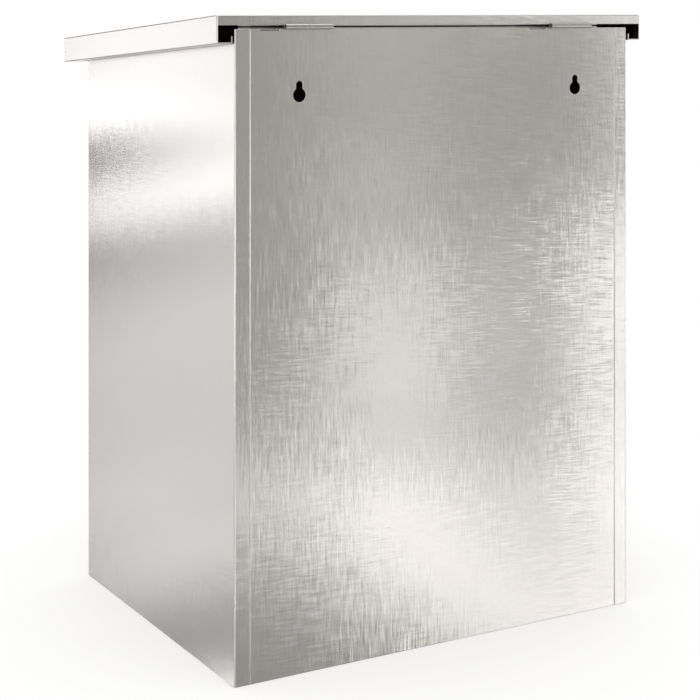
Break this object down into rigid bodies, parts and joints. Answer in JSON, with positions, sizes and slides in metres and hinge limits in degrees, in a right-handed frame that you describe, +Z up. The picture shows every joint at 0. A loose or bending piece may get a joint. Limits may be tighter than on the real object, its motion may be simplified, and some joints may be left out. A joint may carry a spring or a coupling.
{
  "type": "recycling bin station",
  "caption": "Wall-hung recycling bin cabinet in brushed stainless sheet: hinged tray lid, lockable front door, and lift-out inner bins with bail handles.",
  "frame": {"origin": "centre of the cabinet's base, on the underside of the floor pan", "axes": "+Z up, +Y towards the back panel with the keyhole slots, -Y towards the front door, +X to the right seen from the front"},
  "size_m": [0.44, 0.3563, 0.5509],
  "materials": {
    "stainless_brushed": "cross-brushed stainless sheet, fine grain in both directions",
    "stainless_inner": "mill-finish stainless folded strip",
    "hinge_steel": "rolled stainless hinge strip",
    "pin_steel": "ground bright pin and wire stock",
    "lock_chrome": "satin nickel-chrome plated lock",
    "lock_brass": "machined brass nut",
    "zinc_plated": "zinc-plated pressed steel",
    "bin_plastic": "dark grey moulded polypropylene, light texture",
    "grip_blue": "blue moulded grip, paper stream",
    "grip_green": "green moulded grip, packaging stream",
    "bush_nylon": "natural nylon bush",
    "rubber_black": "black rubber stop"
  },
  "bodies": {
    "cabinet": {"right_side_panel": "stainless_brushed", "left_side_panel": "stainless_brushed", "back_panel": "stainless_brushed", "floor_pan": "stainless_inner", "front_top_rail": "stainless_brushed", "front_bottom_rail": "stainless_brushed", "bin_divider": "stainless_inner", "lower_hinge_leaf": "hinge_steel", "lid_hinge_pins": "pin_steel", "lid_buffers": "rubber_black", "door_buffers": "rubber_black", "door_pivot_bushes": "bush_nylon"},
    "lid": {"lid_tray": "stainless_brushed", "lid_stiffener": "stainless_inner", "upper_hinge_leaf": "hinge_steel"},
    "door": {"door_panel": "stainless_brushed", "door_stiffener": "stainless_inner", "door_pivot_pins": "pin_steel", "lock_housing": "lock_chrome", "lock_nut": "lock_brass"},
    "lock_core": {"lock_cylinder": "lock_chrome", "lock_cam": "zinc_plated", "cam_screw": "zinc_plated"},
    "right_bin_unit": {"right_bin": "bin_plastic"},
    "left_bin_unit": {"left_bin": "bin_plastic"},
    "right_bail_unit": {"right_bail": "pin_steel", "right_grip": "grip_green"},
    "left_bail_unit": {"left_bail": "pin_steel", "left_grip": "grip_blue"}
  },
  "joints": [
    {"name": "lid_hinge", "type": "hinge", "parent": "cabinet", "child": "lid", "pos_m": [0, 0.1662, 0.541], "axis": [-1, 0, 0], "range_deg": [0, 100]},
    {"name": "door_hinge", "type": "hinge", "parent": "cabinet", "child": "door", "pos_m": [-0.179, -0.159, 0.257], "axis": [0, 0, -1], "range_deg": [0, 115]},
    {"name": "lock_turn", "type": "hinge", "parent": "door", "child": "lock_core", "pos_m": [0.162, -0.1635, 0.257], "axis": [0, 1, 0], "range_deg": [0, 90]},
    {"name": "right_bin_lift", "type": "slide", "parent": "cabinet", "child": "right_bin_unit", "axis": [0, 0, 1], "range_m": [0, 0.035]},
    {"name": "left_bin_lift", "type": "slide", "parent": "cabinet", "child": "left_bin_unit", "axis": [0, 0, 1], "range_m": [0, 0.035]},
    {"name": "right_bail_swing", "type": "hinge", "parent": "right_bin_unit", "child": "right_bail_unit", "pos_m": [0.093, 0.003, 0.433], "axis": [0, -1, 0], "range_deg": [0, 180]},
    {"name": "left_bail_swing", "type": "hinge", "parent": "left_bin_unit", "child": "left_bail_unit", "pos_m": [-0.093, 0.003, 0.433], "axis": [0, 1, 0], "range_deg": [0, 180]}
  ]
}
